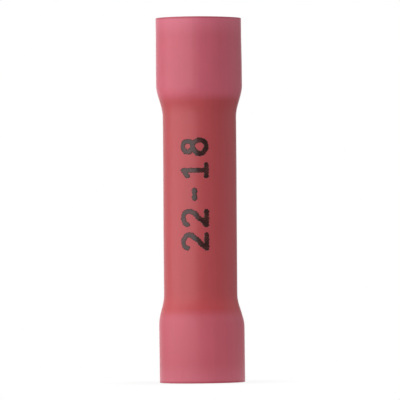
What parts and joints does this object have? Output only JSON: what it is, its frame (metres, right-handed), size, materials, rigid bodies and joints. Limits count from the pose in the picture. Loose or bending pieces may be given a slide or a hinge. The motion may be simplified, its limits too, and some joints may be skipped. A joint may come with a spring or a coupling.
{
  "type": "butt splice connector",
  "caption": "Crimp butt splice with a red translucent vinyl sleeve, belled at both mouths, around a plated crimp barrel with a centre wire stop.",
  "frame": {"origin": "centre of the lower rim, on the surface that the splice stands on", "axes": "+Z along the splice's axis, out of the upper mouth; the barrel's seam faces +Y"},
  "size_m": [0.0062, 0.0062, 0.0262],
  "materials": {
    "red_vinyl": "satin",
    "tinned_copper": "satin"
  },
  "bodies": {
    "root": {"insulating_sleeve": "red_vinyl", "crimp_barrel": "tinned_copper"}
  },
  "joints": []
}
